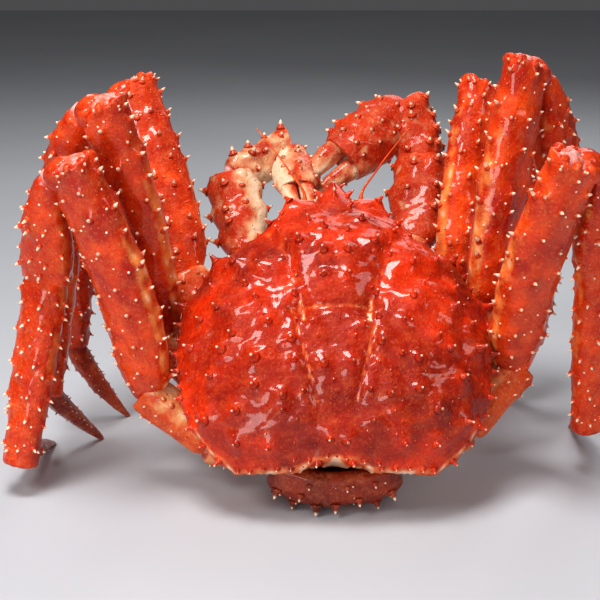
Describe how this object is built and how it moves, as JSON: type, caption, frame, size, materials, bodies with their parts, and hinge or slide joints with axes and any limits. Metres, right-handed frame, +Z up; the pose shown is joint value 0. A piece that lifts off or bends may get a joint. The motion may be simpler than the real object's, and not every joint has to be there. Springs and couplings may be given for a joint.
{
  "type": "red king crab model",
  "caption": "Life-size still model of a red king crab sitting back on its folded tail, with spiny shell, knees up, long legs folded down and claws curled in front.",
  "frame": {"origin": "on the floor, in the middle of the flat under the bend of the folded tail, where the body rests", "axes": "+X to the crab's right, +Y the way it faces, away from the picture's camera, +Z up from the floor"},
  "size_m": [0.3392, 0.2376, 0.2339],
  "materials": {
    "underside": "satin",
    "back_shell": "wet gloss",
    "tail_shell": "wet gloss",
    "eye": "polished",
    "feeler": "wet gloss",
    "mouth_leg": "wet gloss",
    "claw_shell": "wet gloss",
    "claw_arm_shell": "wet gloss",
    "leg_base_shell": "wet gloss",
    "leg_shell": "wet gloss",
    "leg_tip_shell": "satin"
  },
  "bodies": {
    "root": {"thorax": "underside", "coxa_left_front": "leg_base_shell", "ischium_left_front": "leg_base_shell", "merus_left_front": "leg_shell", "carpus_left_front": "leg_shell", "propodus_left_front": "leg_shell", "dactyl_left_front": "leg_tip_shell", "coxa_left_middle": "leg_base_shell", "ischium_left_middle": "leg_base_shell", "merus_left_middle": "leg_shell", "carpus_left_middle": "leg_shell", "propodus_left_middle": "leg_shell", "dactyl_left_middle": "leg_tip_shell", "coxa_left_hind": "leg_base_shell", "ischium_left_hind": "leg_base_shell", "merus_left_hind": "leg_shell", "carpus_left_hind": "leg_shell", "propodus_left_hind": "leg_shell", "dactyl_left_hind": "leg_tip_shell", "coxa_right_front": "leg_base_shell", "ischium_right_front": "leg_base_shell", "merus_right_front": "leg_shell", "carpus_right_front": "leg_shell", "propodus_right_front": "leg_shell", "dactyl_right_front": "leg_tip_shell", "coxa_right_middle": "leg_base_shell", "ischium_right_middle": "leg_base_shell", "merus_right_middle": "leg_shell", "carpus_right_middle": "leg_shell", "propodus_right_middle": "leg_shell", "dactyl_right_middle": "leg_tip_shell", "coxa_right_hind": "leg_base_shell", "ischium_right_hind": "leg_base_shell", "merus_right_hind": "leg_shell", "carpus_right_hind": "leg_shell", "propodus_right_hind": "leg_shell", "dactyl_right_hind": "leg_tip_shell", "coxa_left_claw": "claw_arm_shell", "ischium_left_claw": "claw_arm_shell", "merus_left_claw": "claw_arm_shell", "carpus_left_claw": "claw_arm_shell", "palm_left_claw": "claw_shell", "finger_left_claw": "claw_shell", "coxa_right_claw": "claw_arm_shell", "ischium_right_claw": "claw_arm_shell", "merus_right_claw": "claw_arm_shell", "carpus_right_claw": "claw_arm_shell", "palm_right_claw": "claw_shell", "finger_right_claw": "claw_shell", "maxilliped_left": "mouth_leg", "antenna_left": "feeler", "eye_left": "eye", "maxilliped_right": "mouth_leg", "antenna_right": "feeler", "eye_right": "eye", "tail_tip": "tail_shell", "tail_middle": "tail_shell", "tail_base": "tail_shell", "carapace": "back_shell"}
  },
  "joints": []
}
